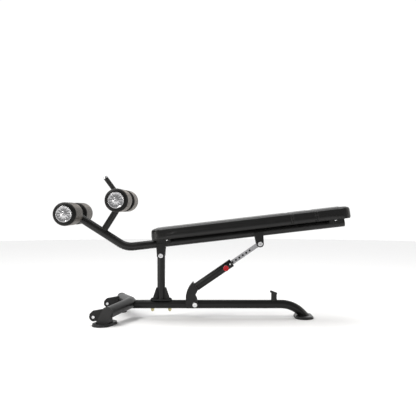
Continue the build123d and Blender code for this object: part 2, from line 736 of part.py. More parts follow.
# Screwed plugs with wide washers keep the rollers on the axles.
END_PLUG = 18
END_WASHER = 22
with BuildPart() as axle_end_screws:
    for axle_plane in (lower_axle_plane, upper_axle_plane):
        with BuildSketch(axle_plane.offset(AXLE_HALF - END_PLUG)):
            Circle(AXLE_RADIUS - AXLE_WALL)
        extrude(amount=END_PLUG)
        with BuildSketch(axle_plane.offset(AXLE_HALF)):
            Circle(END_WASHER)
        extrude(amount=2)
        with BuildSketch(axle_plane.offset(AXLE_HALF + 2)):
            Circle(7)
        extrude(amount=1.5)
    mirror(about=Plane.XZ)
axle_end_screws.part.label = "axle_end_screws"
export_step(axle_end_screws.part, "parts/axle_end_screws.step")

COLLAR_WIDTH = 3
with BuildPart() as axle_collars:
    for axle_plane in (lower_axle_plane, upper_axle_plane):
        with BuildSketch(axle_plane.offset(ROLLER_INNER - CLEAR - COLLAR_WIDTH)):
            Circle(AXLE_RADIUS + 6)
            Circle(AXLE_RADIUS, mode=Mode.SUBTRACT)
        extrude(amount=COLLAR_WIDTH)
    mirror(about=Plane.XZ)
axle_collars.part.label = "axle_collars"
export_step(axle_collars.part, "parts/axle_collars.step")

rollers = [
    ("lower_left", lower_axle_plane, 1),
    ("lower_right", lower_axle_plane, -1),
    ("upper_left", upper_axle_plane, 1),
    ("upper_right", upper_axle_plane, -1),
]
SPIGOT_RADIUS = 23
for roller_name, axle_plane, leftward in rollers:
    inner_face = axle_plane.offset(leftward * ROLLER_INNER)
    outer_face = axle_plane.offset(leftward * ROLLER_OUTER)
    roller_length = leftward * (ROLLER_OUTER - ROLLER_INNER)
    with BuildPart() as foam:
        with BuildSketch(inner_face):
            Circle(ROLLER_RADIUS)
        extrude(amount=roller_length)
        fillet(foam.edges().filter_by(GeomType.CIRCLE), ROLLER_EDGE)
        with BuildSketch(inner_face):
            Circle(ROLLER_BORE)
        extrude(amount=roller_length, mode=Mode.SUBTRACT)
    foam.part.label = f"roller_foam_{roller_name}"
    export_step(foam.part, f"parts/roller_foam_{roller_name}.step")

    with BuildPart() as core:
        with BuildSketch(inner_face):
            Circle(ROLLER_BORE)
            Circle(AXLE_RADIUS + FIT, mode=Mode.SUBTRACT)
        extrude(amount=leftward * (AXLE_HALF - CLEAR - ROLLER_INNER))
    core.part.label = f"roller_core_{roller_name}"
    export_step(core.part, f"parts/roller_core_{roller_name}.step")

    with BuildPart() as disc:
        with BuildSketch(outer_face):
            Circle(CAP_RADIUS)
        extrude(amount=leftward * CAP_THICKNESS)
        fillet(disc.edges().filter_by(GeomType.CIRCLE).sort_by(Axis.Y)[-1 if leftward < 0 else 0], 1.5)
        with BuildSketch(outer_face):
            Circle(ROLLER_BORE)
            Circle(SPIGOT_RADIUS, mode=Mode.SUBTRACT)
        extrude(amount=-leftward * (ROLLER_OUTER - AXLE_HALF))
    disc.part.label = f"roller_disc_{roller_name}"
    export_step(disc.part, f"parts/roller_disc_{roller_name}.step")

# ---- handle ---------------------------------------------------------------------------
handle_turn = radians(HANDLE_ANGLE)
handle_plane = Plane(
    origin=(UPPER_AXLE[0], 0, UPPER_AXLE[1]),
    x_dir=(0, 1, 0),
    z_dir=(cos(handle_turn), 0, sin(handle_turn)),
)
with BuildPart() as handle_tube:
    with BuildSketch(handle_plane):
        Circle(HANDLE_RADIUS)
        Circle(HANDLE_RADIUS - WALL, mode=Mode.SUBTRACT)
    extrude(amount=HANDLE_LENGTH)
    with BuildSketch(upper_axle_plane):
        Circle(AXLE_RADIUS)
    extrude(amount=AXLE_HALF, both=True, mode=Mode.SUBTRACT)
    add(roller_post_rod, mode=Mode.SUBTRACT)
handle_tube.part.label = "handle_tube"
export_step(handle_tube.part, "parts/handle_tube.step")

grip_length = HANDLE_LENGTH - GRIP_START
rib_pitch = grip_length / GRIP_RIBS
with BuildPart() as handle_grip:
    with BuildSketch(handle_plane.offset(GRIP_START)):
        Circle(GRIP_RADIUS)
    extrude(amount=grip_length)
    for groove in range(1, GRIP_RIBS):
        with BuildSketch(handle_plane.offset(GRIP_START + groove * rib_pitch - 1)):
            Circle(GRIP_RADIUS)
            Circle(GRIP_RADIUS - 1, mode=Mode.SUBTRACT)
        extrude(amount=2, mode=Mode.SUBTRACT)
    with BuildSketch(handle_plane.offset(GRIP_START)):
        Circle(HANDLE_RADIUS)
    extrude(amount=grip_length, mode=Mode.SUBTRACT)
handle_grip.part.label = "handle_grip"
export_step(handle_grip.part, "parts/handle_grip.step")

with BuildPart() as handle_cap:
    with BuildSketch(handle_plane.offset(HANDLE_LENGTH)):
        Circle(HANDLE_CAP_RADIUS)
    extrude(amount=HANDLE_CAP_LENGTH)
    fillet(handle_cap.edges().filter_by(GeomType.CIRCLE), 3)
handle_cap.part.label = "handle_cap"
export_step(handle_cap.part, "parts/handle_cap.step")

# ---- strut: perforated bar ------------------------------------------------------------
# Along the strut, local x runs down from the clevis bolt.
down_strut = Plane(
    origin=clevis_plane.origin,
    x_dir=(-cos(radians(STRUT_ANGLE)), 0, -sin(radians(STRUT_ANGLE))),
    z_dir=(0, 1, 0),
)
EYE_RADIUS = 15
EYE_HALF = SIDE_GAP - CLEAR
hole_pitch = STRUT_TRAVEL / (HOLE_COUNT - 1)
with BuildPart() as strut_eye:
    with BuildSketch(clevis_plane):
        Circle(EYE_RADIUS)
        Circle(PIVOT_BOLT_RADIUS + FIT, mode=Mode.SUBTRACT)
    extrude(amount=EYE_HALF, both=True)
strut_eye.part.label = "strut_eye"
export_step(strut_eye.part, "parts/strut_eye.step")

with BuildPart() as strut_bar:
    with BuildSketch(down_strut):
        with Locations((BAR_END / 2, 0)):
            Rectangle(BAR_END, BAR_WIDTH)
        Circle(EYE_RADIUS, mode=Mode.SUBTRACT)
    extrude(amount=BAR_THICKNESS / 2, both=True)
    with BuildSketch(down_strut):
        with Locations((BAR_END / 2, 0)):
            Rectangle(BAR_END, BAR_WIDTH - 2 * BAR_WALL)
    extrude(amount=BAR_THICKNESS / 2 - BAR_WALL, both=True, mode=Mode.SUBTRACT)
    with BuildSketch(down_strut):
        for hole in range(HOLE_COUNT):
            with Locations((PIN_AT - hole * hole_pitch, 0)):
                Circle(HOLE_RADIUS)
    extrude(amount=-BAR_THICKNESS, mode=Mode.SUBTRACT)
strut_bar.part.label = "strut_bar"
export_step(strut_bar.part, "parts/strut_bar.step")

# ---- strut: sleeve --------------------------------------------------------------------
strut_across = Plane(origin=down_strut.origin, x_dir=(0, 1, 0), z_dir=down_strut.x_dir)
GUIDE_LIP = 3
PIN_RADIUS = 6
SCREW_RADIUS = 2.5
pin_plane = across(*along_strut(PIN_AT))
screw_plane = across(*along_strut(GUIDE_SCREW_AT))
with BuildPart() as sleeve_rod:
    with BuildSketch(strut_across.offset(SLEEVE_MOUTH)):
        Circle(SLEEVE_RADIUS)
    extrude(amount=SLEEVE_END - SLEEVE_MOUTH)

with BuildPart() as sleeve_tube:
    with BuildSketch(strut_across.offset(SLEEVE_MOUTH + GUIDE_LIP)):
        Circle(SLEEVE_RADIUS)
        Circle(SLEEVE_RADIUS - WALL, mode=Mode.SUBTRACT)
    extrude(amount=SLEEVE_END - SLEEVE_MOUTH - GUIDE_LIP)
    with BuildSketch(pin_plane):
        Circle(PIN_RADIUS + FIT)
    extrude(amount=SLEEVE_RADIUS * 2, mode=Mode.SUBTRACT)
    with BuildSketch(screw_plane):
        Circle(SCREW_RADIUS)
    extrude(amount=SLEEVE_RADIUS * 2, mode=Mode.SUBTRACT)
sleeve_tube.part.label = "sleeve_tube"
export_step(sleeve_tube.part, "parts/sleeve_tube.step")

with BuildPart() as sleeve_guide:
    with BuildSketch(strut_across.offset(SLEEVE_MOUTH)):
        Circle(SLEEVE_RADIUS)
    extrude(amount=GUIDE_LIP)
    with BuildSketch(strut_across.offset(SLEEVE_MOUTH)):
        Circle(SLEEVE_RADIUS - WALL)
    extrude(amount=GUIDE_LENGTH)
    with BuildSketch(strut_across.offset(SLEEVE_MOUTH)):
        Rectangle(BAR_THICKNESS + 2 * CLEAR, BAR_WIDTH + 2 * CLEAR)
    extrude(amount=GUIDE_LENGTH, mode=Mode.SUBTRACT)
    with BuildSketch(screw_plane):
        Circle(SCREW_RADIUS)
    extrude(amount=SLEEVE_RADIUS, mode=Mode.SUBTRACT)
sleeve_guide.part.label = "sleeve_guide"
export_step(sleeve_guide.part, "parts/sleeve_guide.step")

SCREW_TIP = 12
with BuildPart() as guide_screw:
    with BuildSketch(screw_plane.offset(SCREW_TIP)):
        Circle(SCREW_RADIUS)
    extrude(amount=SLEEVE_RADIUS - SCREW_TIP)
    with BuildSketch(screw_plane.offset(SLEEVE_RADIUS)):
        Circle(4.5)
    extrude(amount=2)
guide_screw.part.label = "guide_screw"
export_step(guide_screw.part, "parts/guide_screw.step")

# The foot bracket is a boxed boot: two side plates outside the rail, joined above it by a
# back web and by the wall that the sleeve is welded to. Points are from the foot pivot.
foot_plane = across(STRUT_FOOT_X, RAIL_Z)
BOOT_BACK = -52.3
BOOT_ROUND = 20
BOOT_OPEN = 44
boot_top = (-11.3, 130)
boot_front = (18.6, 86.3)
with BuildPart() as sleeve_bracket:
    with BuildSketch(foot_plane):
        with BuildLine():
            boot_arc = ThreePointArc((BOOT_BACK, 52), (-38.5, 94), boot_top)
            Polyline(boot_top, boot_front, (7, 63), (2, 51), (9, 38), (18, 9), (0, -BOOT_ROUND))
            Polyline((0, -BOOT_ROUND), (BOOT_BACK, -BOOT_ROUND), (BOOT_BACK, 52))
        make_face()
        Circle(BOOT_ROUND)
    extrude(amount=BRACKET_GAP + SIDE_PLATE, both=True)
    with BuildSketch(foot_plane):
        with BuildLine():
            ThreePointArc((BOOT_BACK + 6, 50), (-33.5, 90), (-11, 120.7))
            Polyline((-11, 120.7), (28.5, 63), (60, -60), (BOOT_BACK + 6, -60), (BOOT_BACK + 6, 50))
        make_face()
        with Locations((0, -BOOT_OPEN)):
            Rectangle(200, 4 * BOOT_OPEN)
    extrude(amount=BRACKET_GAP, both=True, mode=Mode.SUBTRACT)
    with BuildSketch(foot_plane):
        Circle(PIVOT_BOLT_RADIUS)
    extrude(amount=BRACKET_GAP * 2, both=True, mode=Mode.SUBTRACT)
    add(sleeve_rod.part, mode=Mode.SUBTRACT)
sleeve_bracket.part.label = "sleeve_bracket"
export_step(sleeve_bracket.part, "parts/sleeve_bracket.step")

foot_grip = 2 * (BRACKET_GAP + SIDE_PLATE)
with BuildPart() as foot_pivot_bolts:
    add(through_bolt(foot_plane, foot_grip, PIVOT_BOLT_RADIUS, PIVOT_HEAD, HEAD_HEIGHT - 1))
    with BuildSketch(foot_plane):
        Circle(PIVOT_BOLT_RADIUS)
    extrude(amount=BRACKET_GAP + CLEAR, both=True, mode=Mode.SUBTRACT)
foot_pivot_bolts.part.label = "foot_pivot_bolts"
export_step(foot_pivot_bolts.part, "parts/foot_pivot_bolts.step")

# ---- pop pin --------------------------------------------------------------------------
HOUSING_END = 57
with BuildPart() as pin_housing:
    with BuildSketch(pin_plane):
        Circle(11)
        Circle(PIN_RADIUS + FIT, mode=Mode.SUBTRACT)
    extrude(amount=HOUSING_END)
    add(sleeve_rod.part, mode=Mode.SUBTRACT)
    fillet(pin_housing.edges().filter_by(GeomType.CIRCLE).sort_by(Axis.Y)[0], 1)
pin_housing.part.label = "pin_housing"
export_step(pin_housing.part, "parts/pin_housing.step")

NOSE_RADIUS = 5.5
NOSE_END = 18.6
KNOB_INNER = HOUSING_END + PIN_TRAVEL + 1
KNOB_LENGTH = 32
KNOB_RADIUS = 16.5
pin_tip = BAR_THICKNESS / 2 + CLEAR
with BuildPart() as pop_pin:
    with BuildSketch(pin_plane.offset(pin_tip)):
        Circle(NOSE_RADIUS)
    extrude(amount=NOSE_END - pin_tip)
    with BuildSketch(pin_plane.offset(NOSE_END)):
        Circle(PIN_RADIUS)
    extrude(amount=KNOB_INNER - NOSE_END)
pop_pin.part.label = "pop_pin"
export_step(pop_pin.part, "parts/pop_pin.step")

with BuildPart() as pin_knob:
    with BuildSketch(pin_plane.offset(KNOB_INNER)):
        Circle(KNOB_RADIUS)
        with PolarLocations(KNOB_RADIUS + 4, 6):
            Circle(7, mode=Mode.SUBTRACT)
    extrude(amount=KNOB_LENGTH)
    chamfer(pin_knob.faces().sort_by(Axis.Y)[0].edges(), 1.5)
pin_knob.part.label = "pin_knob"
export_step(pin_knob.part, "parts/pin_knob.step")
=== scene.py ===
import math

import bmesh
import bpy
from mathutils import Matrix, Vector, noise
from mathutils.bvhtree import BVHTree


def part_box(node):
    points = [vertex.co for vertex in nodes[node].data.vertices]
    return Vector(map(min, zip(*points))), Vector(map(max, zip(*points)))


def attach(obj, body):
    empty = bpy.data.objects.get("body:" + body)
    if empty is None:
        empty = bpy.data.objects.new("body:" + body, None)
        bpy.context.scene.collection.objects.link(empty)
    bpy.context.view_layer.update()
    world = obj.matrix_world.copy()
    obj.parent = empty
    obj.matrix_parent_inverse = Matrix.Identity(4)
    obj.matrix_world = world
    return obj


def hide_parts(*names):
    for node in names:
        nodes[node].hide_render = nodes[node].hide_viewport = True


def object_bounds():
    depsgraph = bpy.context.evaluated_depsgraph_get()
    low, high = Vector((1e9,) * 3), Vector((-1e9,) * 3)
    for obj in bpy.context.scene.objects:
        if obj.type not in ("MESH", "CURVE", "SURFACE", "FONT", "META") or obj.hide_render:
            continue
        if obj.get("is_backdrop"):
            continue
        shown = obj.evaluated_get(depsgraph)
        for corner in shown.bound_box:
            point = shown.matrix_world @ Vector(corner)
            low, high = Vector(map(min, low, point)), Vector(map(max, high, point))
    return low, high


# Looks of the adjustable decline bench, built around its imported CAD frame. Metres, Z up.
# X runs from the leg holder to the head end, Y across; "left" is the -Y side.

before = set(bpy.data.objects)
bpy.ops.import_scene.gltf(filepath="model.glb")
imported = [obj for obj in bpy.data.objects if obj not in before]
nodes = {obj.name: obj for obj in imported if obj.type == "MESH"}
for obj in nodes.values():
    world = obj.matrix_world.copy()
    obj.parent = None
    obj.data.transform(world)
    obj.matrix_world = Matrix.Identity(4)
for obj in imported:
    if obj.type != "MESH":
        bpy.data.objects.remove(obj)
cad_low, cad_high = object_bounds()
scene = bpy.context.scene
MM = 0.001

# ---- sizes shared with the frame -------------------------------------------------------
PAD_SLOPE = math.radians(6.7)
PAD_LENGTH = 1.1304
PAD_WIDTH = 0.300
PAD_CORNER = 0.045     # radius of the pad's corners in plan
BOARD_THICKNESS = 0.012
CUSHION_TOP = 0.065     # height of the cushion above the board's underside
CUSHION_EDGE = 0.013    # rounding of the cushion's long upper edge
STRUT_SLOPE = math.radians(34.4)
BAR_NORMAL = Vector((math.sin(STRUT_SLOPE), 0, -math.cos(STRUT_SLOPE)))
LEFT, RIGHT = -1, 1
SIDES = (("left", LEFT), ("right", RIGHT))
X, Y, Z = Vector((1, 0, 0)), Vector((0, 1, 0)), Vector((0, 0, 1))


def centre(node):
    """Middle of a CAD node's box."""
    low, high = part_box(node)
    return (low + high) / 2


def axes(origin, along_x, along_z):
    """Matrix of a local frame, from its origin, its x direction and its z direction."""
    along_z = Vector(along_z).normalized()
    along_y = along_z.cross(Vector(along_x)).normalized()
    turned = Matrix((along_y.cross(along_z), along_y, along_z)).transposed()
    return Matrix.Translation(origin) @ turned.to_4x4()


def sideways(point, side):
    """Local frame with z pointing outwards to one side, and y up."""
    return axes(point, -side * X, side * Y)


# ---- meshes ----------------------------------------------------------------------------
def add_object(name, bm, place=None, smooth=True):
    """Object from a bmesh, standing at a local frame."""
    mesh = bpy.data.meshes.new(name)
    bmesh.ops.recalc_face_normals(bm, faces=bm.faces)
    for face in bm.faces:
        face.smooth = smooth
    bm.to_mesh(mesh)
    bm.free()
    made = bpy.data.objects.new(name, mesh)
    scene.collection.objects.link(made)
    if place is not None:
        made.matrix_world = place
    return made


def dress(piece, body, look):
    """Gives a finished piece its material and its body."""
    piece.data.materials.clear()
    piece.data.materials.append(look)
    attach(piece, body)
    return piece


def grid_faces(bm, rows, closed_rows=True, closed_columns=False):
    """Quads between neighbouring rows of vertices."""
    pairs = list(zip(rows, rows[1:]))
    if closed_columns:
        pairs.append((rows[-1], rows[0]))
    for low, high in pairs:
        count = len(low)
        for i in range(count if closed_rows else count - 1):
            j = (i + 1) % count
            bm.faces.new((low[i], low[j], high[j], high[i]))


def turned_piece(name, profile, place, segments=96, shape=None):
    """Surface of revolution about local z from (radius, height) points.

    shape(radius, height, angle) may move each point. Ends on the axis are closed by fans.
    """
    bm = bmesh.new()
    rows = []
    for radius, height in profile:
        row = []
        for i in range(segments):
            angle = 2 * math.pi * i / segments
            r, h = shape(radius, height, angle) if shape else (radius, height)
            row.append(bm.verts.new((r * math.cos(angle), r * math.sin(angle), h)))
        rows.append(row)
    grid_faces(bm, rows)
    for row in (rows[0], rows[-1]):
        bm.faces.new(row)
    return add_object(name, bm, place)


def arc(centre_r, centre_h, radius, start, end, steps):
    """Profile points on an arc, with angles in degrees from the outward direction."""
    points = []
    for i in range(steps + 1):
        angle = math.radians(start + (end - start) * i / steps)
        points.append((centre_r + radius * math.cos(angle), centre_h + radius * math.sin(angle)))
    return points


def in_mm(points):
    """(radius, height) points given in millimetres, as metres."""
    return [(radius * MM, height * MM) for radius, height in points]


def blend_in(value, low, high):
    """0 below low, 1 above high, smooth between."""
    t = min(1.0, max(0.0, (value - low) / (high - low)))
    return t * t * (3 - 2 * t)


# ---- material nodes --------------------------------------------------------------------
class Look:
    """A Principled material being built. Constants go straight onto the shader's sockets."""

    def __init__(self, name, colour, roughness, **sockets):
        self.material = bpy.data.materials.new(name)
        self.material.use_nodes = True
        self.tree = self.material.node_tree
        self.shader = self.tree.nodes["Principled BSDF"]
        self.colour = colour
        self.set("Base Color", (*colour, 1))
        self.set("Roughness", roughness)
        for socket, value in sockets.items():
            self.set(socket.replace("_", " "), value)
        self.place = self.node("ShaderNodeTexCoord").outputs["Object"]

    def set(self, socket, value):
        self.shader.inputs[socket].default_value = value

    def node(self, kind, **settings):
        made = self.tree.nodes.new(kind)
        for key, value in settings.items():
            setattr(made, key, value)
        return made

    def feed(self, made, socket, value):
        if isinstance(value, bpy.types.NodeSocket):
            self.tree.links.new(value, made.inputs[socket])
        else:
            made.inputs[socket].default_value = value

    def stretched(self, stretch, turn=(0, 0, 0)):
        """Object coordinates scaled along each axis, after a turn."""
        made = self.node("ShaderNodeMapping", vector_type="POINT")
        self.feed(made, "Vector", self.place)
        made.inputs["Scale"].default_value = stretch
        made.inputs["Rotation"].default_value = turn
        return made.outputs["Vector"]

    def noise(self, scale, detail=2.0, roughness=0.5, place=None):
        made = self.node("ShaderNodeTexNoise")
        self.feed(made, "Vector", place or self.place)
        self.feed(made, "Scale", scale)
        self.feed(made, "Detail", detail)
        self.feed(made, "Roughness", roughness)
        return made.outputs["Fac"]

    def cells(self, scale, feature="F1", place=None, smoothness=None):
        made = self.node("ShaderNodeTexVoronoi", feature=feature)
        self.feed(made, "Vector", place or self.place)
        self.feed(made, "Scale", scale)
        if smoothness is not None:
            self.feed(made, "Smoothness", smoothness)
        return made.outputs["Distance"]

    def spread(self, value, from_low, from_high, to_low, to_high):
        made = self.node("ShaderNodeMapRange")
        self.feed(made, "Value", value)
        self.feed(made, "From Min", from_low)
        self.feed(made, "From Max", from_high)
        self.feed(made, "To Min", to_low)
        self.feed(made, "To Max", to_high)
        return made.outputs["Result"]

    def calculate(self, operation, *values):
        made = self.node("ShaderNodeMath", operation=operation)
        for socket, value in enumerate(values):
            self.feed(made, socket, value)
        return made.outputs["Value"]

    def sum(self, *values):
        total = values[0]
        for value in values[1:]:
            total = self.calculate("ADD", total, value)
        return total

    def times(self, value, factor):
        return self.calculate("MULTIPLY", value, factor)

    def below(self, value, limit):
        """1 where a value is below a limit, 0 elsewhere."""
        return self.calculate("LESS_THAN", value, limit)

    def dot(self, first, second):
        made = self.node("ShaderNodeVectorMath", operation="DOT_PRODUCT")
        self.feed(made, 0, first)
        self.feed(made, 1, second)
        return made.outputs["Value"]

    def offset_from(self, place, normal, distance):
        """Distance of a place from the plane with a normal and a distance from the origin."""
        past = self.calculate("SUBTRACT", self.dot(place, normal), distance)
        return self.calculate("ABSOLUTE", past)

    def mix(self, factor, first, second):
        """Colour between two colours, each of which may be a socket."""
        made = self.node("ShaderNodeMix", data_type="RGBA")
        self.feed(made, 0, factor)
        for socket, value in ((6, first), (7, second)):
            is_socket = isinstance(value, bpy.types.NodeSocket)
            self.feed(made, socket, value if is_socket else (*value, 1))
        return made.outputs[2]

    def mottle(self, factor, share):
        """Base colour that varies by a share either way, following a 0 to 1 factor."""
        dark = tuple(c * (1 - share) for c in self.colour)
        light = tuple(c * (1 + share) for c in self.colour)
        colour = self.mix(factor, dark, light)
        self.feed(self.shader, "Base Color", colour)
        return colour

    def rough(self, factor, low, high):
        self.feed(self.shader, "Roughness", self.spread(factor, 0.25, 0.75, low, high))

    def bump(self, height, distance, strength=1.0, normal=None):
        made = self.node("ShaderNodeBump")
        self.feed(made, "Height", height)
        self.feed(made, "Distance", distance)
        self.feed(made, "Strength", strength)
        if normal is not None:
            self.feed(made, "Normal", normal)
        return made.outputs["Normal"]

    def round_edges(self, radius):
        """Normal that rounds the sharp edges of a plate."""
        made = self.node("ShaderNodeBevel", samples=4)
        self.feed(made, "Radius", radius)
        return made.outputs["Normal"]

    def edge_mask(self, rounded):
        """1 on the sharp edges, 0 elsewhere."""
        plain = self.node("ShaderNodeNewGeometry").outputs["Normal"]
        return self.spread(self.dot(rounded, plain), 0.985, 0.90, 0.0, 1.0)

    def finish(self, normal):
        self.feed(self.shader, "Normal", normal)
        return self.material


def powder_coat():
    """Satin black powder coat: orange peel, fine grit, and edges where it has thinned."""
    look = Look("powder_coat_black", (0.0062, 0.0061, 0.006), 0.36, Specular_IOR_Level=0.34)
    broad = look.noise(9, 3)
    peel = look.noise(420, 2)
    grit = look.noise(1500, 2, 0.6)
    rounded = look.round_edges(0.9 * MM)
    patches = look.spread(look.noise(60, 4, 0.7), 0.42, 0.62, 0.15, 0.9)
    worn = look.times(look.edge_mask(rounded), patches)
    colour = look.mottle(broad, 0.18)
    look.feed(look.shader, "Base Color", look.mix(worn, colour, (0.05, 0.05, 0.052)))
    look.rough(look.sum(look.times(broad, 0.5), look.times(grit, 0.5)), 0.3, 0.44)
    normal = look.bump(peel, 0.25 * MM, 0.35, rounded)
    return look.finish(look.bump(grit, 0.08 * MM, 0.35, normal))


def vinyl():
    """Smooth black upholstery vinyl: small pebbled grain with faint stretch creases."""
    look = Look("pad_vinyl_black", (0.0055, 0.0054, 0.0053), 0.36, Specular_IOR_Level=0.36)
    pebble = look.cells(620, "SMOOTH_F1", smoothness=0.6)
    fine = look.noise(2200, 2)
    crease = look.noise(16, 4, 0.6, look.stretched((1, 0.35, 1)))
    look.mottle(look.sum(look.times(pebble, 0.6), look.times(crease, 0.5)), 0.2)
    look.rough(look.sum(look.times(crease, 0.6), look.times(fine, 0.4)), 0.29, 0.42)
    normal = look.bump(crease, 1.2 * MM, 0.25)
    normal = look.bump(pebble, 0.22 * MM, 0.5, normal)
    return look.finish(look.bump(fine, 0.05 * MM, 0.4, normal))


def painted_board():
    """Black painted plywood: wood grain along the board, with open pores."""
    look = Look("board_black", (0.012, 0.0115, 0.011), 0.72)
    grain = look.noise(90, 5, 0.65, look.stretched((0.06, 1, 1)))
    plies = look.noise(330, 1, 0.5, look.stretched((0.02, 0.02, 1)))
    look.mottle(look.sum(look.times(grain, 0.6), look.times(plies, 0.4)), 0.4)
    look.rough(grain, 0.6, 0.85)
    normal = look.bump(grain, 0.4 * MM, 0.5)
    return look.finish(look.bump(plies, 0.3 * MM, 0.4, normal))


def moulded_foam():
    """Self-skinned black foam: a fine pitted skin, a little lighter where it is rubbed."""
    look = Look("roller_foam_black", (0.004, 0.0038, 0.0036), 0.46, Specular_IOR_Level=0.2,
                Sheen_Weight=0.27, Sheen_Roughness=0.3, Sheen_Tint=(1.0, 0.88, 0.76, 1))
    pits = look.cells(900)
    soft = look.noise(35, 4, 0.6)
    fine = look.noise(2600, 2)
    look.mottle(look.sum(look.times(soft, 0.7), look.times(pits, 0.4)), 0.22)
    look.rough(look.sum(look.times(soft, 0.6), look.times(fine, 0.4)), 0.4, 0.56)
    normal = look.bump(soft, 1.5 * MM, 0.2)
    normal = look.bump(pits, 0.15 * MM, 0.4, normal)
    return look.finish(look.bump(fine, 0.05 * MM, 0.4, normal))


def polished_metal(name, colour, roughness, scratch=220, swirl=0.12):
    """Bright plated or polished metal with fine handling scratches."""
    look = Look(name, colour, roughness, Metallic=1.0)
    haze = look.noise(70, 4, 0.6)
    lines = look.noise(scratch, 3, 0.7, look.stretched((1, 6, 1)))
    rounded = look.round_edges(0.35 * MM)
    look.mottle(haze, 0.06)
    worn = look.sum(look.times(haze, 0.5), look.times(lines, 0.5))
    look.rough(worn, roughness * 0.7, roughness * 1.4)
    return look.finish(look.bump(lines, 0.03 * MM, swirl, rounded))


def turned_aluminium():
    """Polished aluminium with the concentric rings left by the lathe."""
    look = Look("polished_aluminium", (0.54, 0.54, 0.55), 0.2, Metallic=1.0)
    ring = look.node("ShaderNodeVectorMath", operation="LENGTH")
    flat = look.stretched((1, 1, 0))
    look.feed(ring, 0, flat)
    rings = look.node("ShaderNodeTexNoise", noise_dimensions="1D")
    look.feed(rings, "W", ring.outputs["Value"])
    look.feed(rings, "Scale", 1900)
    look.feed(rings, "Detail", 2)
    haze = look.noise(120, 4, 0.6)
    look.mottle(haze, 0.05)
    look.rough(look.sum(look.times(rings.outputs["Fac"], 0.6), look.times(haze, 0.4)), 0.16, 0.28)
    return look.finish(look.bump(rings.outputs["Fac"], 0.02 * MM, 0.3))


# Reach of the painted shade inside the flat bar, either side of its axis. Across the bar it takes
# in
#  most of the wall, so that the rims of the holes are painted dark too.
PAINTED_SHADE_HEIGHT = 10.8 * MM
PAINTED_SHADE_DEPTH = 5.6 * MM


def zinc_plate():
    """Zinc plated flat bar: grey, faintly crystalline, drawn lengthwise where it slides.

    Everything inside the bar is painted near-black by position as painted shade, so that its holes
    look dark.
    """
    look = Look("zinc_plated_bar", (0.42, 0.42, 0.435), 0.4, Metallic=0.55)
    drawn = look.noise(900, 3, 0.6, look.stretched((0.03, 1, 1), (0, STRUT_SLOPE, 0)))
    cloud = look.cells(95, "SMOOTH_F1", smoothness=0.4)
    rounded = look.round_edges(0.6 * MM)
    plated = look.mottle(look.sum(look.times(cloud, 0.7), look.times(drawn, 0.4)), 0.14)
    off_axis = look.offset_from(look.place, BAR_NORMAL, BAR_NORMAL.dot(centre("clevis_bolt")))
    off_middle = look.offset_from(look.place, Y, 0)
    # Painted shade: inside the bar's walls the colour is near-black and not metallic, as if in
    # shadow.
    inside = look.times(look.below(off_axis, PAINTED_SHADE_HEIGHT), look.below(off_middle, PAINTED_SHADE_DEPTH))
    look.feed(look.shader, "Base Color", look.mix(inside, plated, (0.004, 0.004, 0.004)))
    look.feed(look.shader, "Metallic", look.spread(inside, 0, 1, 0.55, 0))
    look.rough(look.sum(look.times(drawn, 0.6), look.times(cloud, 0.5)), 0.3, 0.5)
    return look.finish(look.bump(drawn, 0.05 * MM, 0.4, rounded))


def yellow_zinc():
    """Yellow passivated zinc, with its uneven straw to green tint."""
    look = Look("yellow_zinc", (0.62, 0.53, 0.30), 0.28, Metallic=1.0)
    tint = look.noise(140, 3)
    look.feed(look.shader, "Base Color", look.mix(tint, (0.70, 0.58, 0.30), (0.52, 0.52, 0.34)))
    look.rough(look.noise(400, 3), 0.2, 0.36)
    return look.finish(look.round_edges(0.4 * MM))


def red_plastic():
    """Glossy injection-moulded red plastic with a faint flow pattern."""
    look = Look("knob_red", (0.44, 0.004, 0.010), 0.24, Specular_IOR_Level=0.3)
    flow = look.noise(60, 4, 0.6)
    fine = look.noise(1700, 2)
    look.mottle(flow, 0.12)
    look.rough(look.sum(look.times(flow, 0.5), look.times(fine, 0.5)), 0.16, 0.3)
    return look.finish(look.bump(fine, 0.03 * MM, 0.4, look.round_edges(0.5 * MM)))


def dull_rubber(name, colour=(0.016, 0.016, 0.016)):
    """Matt black rubber, dusty in its low spots, with a fine moulded stipple."""
    look = Look(name, colour, 0.78, Specular_IOR_Level=0.35, Sheen_Weight=0.08)
    dust = look.noise(45, 5, 0.65)
    stipple = look.cells(1300)
    grey = tuple(c * 2.1 for c in colour)
    dusty = look.mix(look.spread(dust, 0.4, 0.75, 0.0, 0.8), colour, grey)
    look.feed(look.shader, "Base Color", dusty)
    look.rough(dust, 0.66, 0.9)
    return look.finish(look.bump(stipple, 0.12 * MM, 0.5, look.round_edges(0.8 * MM)))


def satin_plastic(name, colour, low=0.36, high=0.52):
    """Moulded plastic with a fine spark-eroded texture."""
    look = Look(name, colour, (low + high) / 2, Specular_IOR_Level=0.45)
    spark = look.noise(1900, 3, 0.6)
    cloud = look.noise(50, 3)
    look.mottle(cloud, 0.15)
    look.rough(look.sum(look.times(spark, 0.5), look.times(cloud, 0.5)), low, high)
    return look.finish(look.bump(spark, 0.06 * MM, 0.45, look.round_edges(0.6 * MM)))


def spun_thread():
    """Black bonded sewing thread, its two strands twisted."""
    look = Look("thread_black", (0.03, 0.03, 0.032), 0.6, Sheen_Weight=0.2)
    twist = look.node("ShaderNodeTexWave", wave_type="BANDS", bands_direction="DIAGONAL")
    look.feed(twist, "Vector", look.place)
    look.feed(twist, "Scale", 900)
    look.feed(twist, "Distortion", 1.0)
    look.mottle(twist.outputs["Fac"], 0.35)
    return look.finish(look.bump(twist.outputs["Fac"], 0.1 * MM, 0.6))


